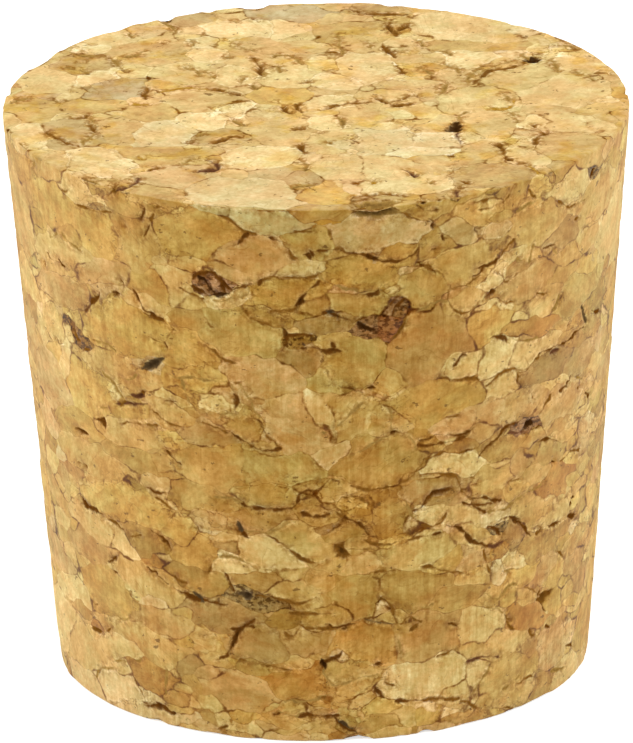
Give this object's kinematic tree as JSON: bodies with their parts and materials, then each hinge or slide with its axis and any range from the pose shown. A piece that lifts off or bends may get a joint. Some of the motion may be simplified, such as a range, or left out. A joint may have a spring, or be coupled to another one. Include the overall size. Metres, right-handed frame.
{
  "type": "cork stopper",
  "caption": "Solid tapered stopper of bonded cork granules, which closes a round neck by friction and stands on its small end.",
  "frame": {"origin": "centre of the small end face, which the stopper stands on", "axes": "+Z along the stopper's axis, from the small end to the large end; -Y is the front"},
  "size_m": [0.0412, 0.0412, 0.0381],
  "materials": {
    "cork": "matte, ground cork granules with fine brown seams"
  },
  "bodies": {
    "root": {"stopper": "cork"}
  },
  "joints": []
}
